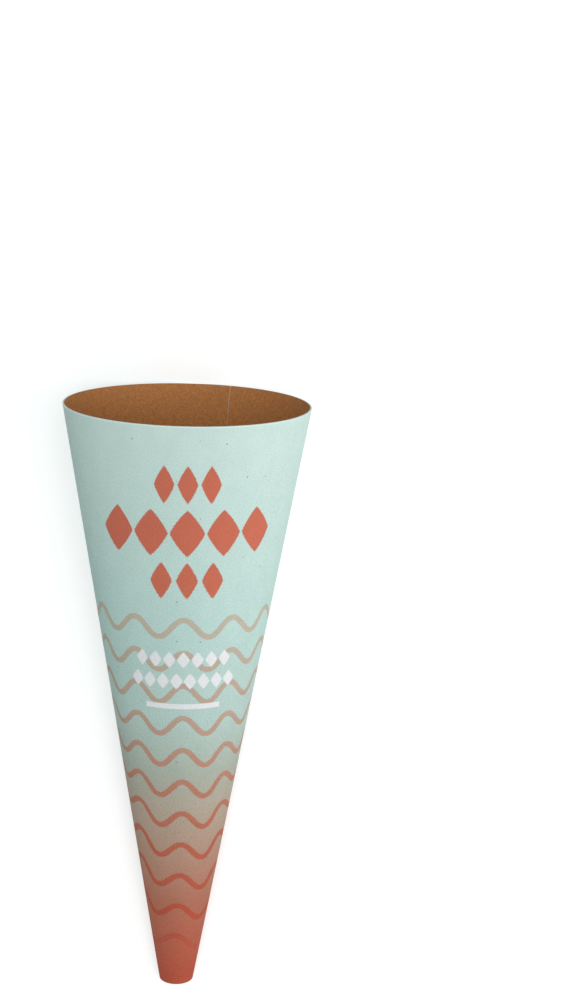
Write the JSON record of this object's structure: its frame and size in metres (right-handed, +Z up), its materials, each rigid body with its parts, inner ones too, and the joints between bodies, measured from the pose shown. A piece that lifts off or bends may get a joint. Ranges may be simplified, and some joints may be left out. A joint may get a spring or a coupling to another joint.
{
  "type": "cone sleeve",
  "caption": "Printed paper board sleeve for an ice cream cone: one fan-shaped blank rolled into an open cone with a glued lap, pale green fading to coral, with wavy lines.",
  "frame": {"origin": "centre of the box around the sleeve as it lies, on the surface it lies on", "axes": "+Y along the lying sleeve from its small end to its wide mouth, +Z up, +X across it; the lap is underneath"},
  "size_m": [0.0504, 0.1296, 0.0496],
  "materials": {
    "printed_board": "satin"
  },
  "bodies": {
    "root": {"sleeve": "printed_board"}
  },
  "joints": []
}
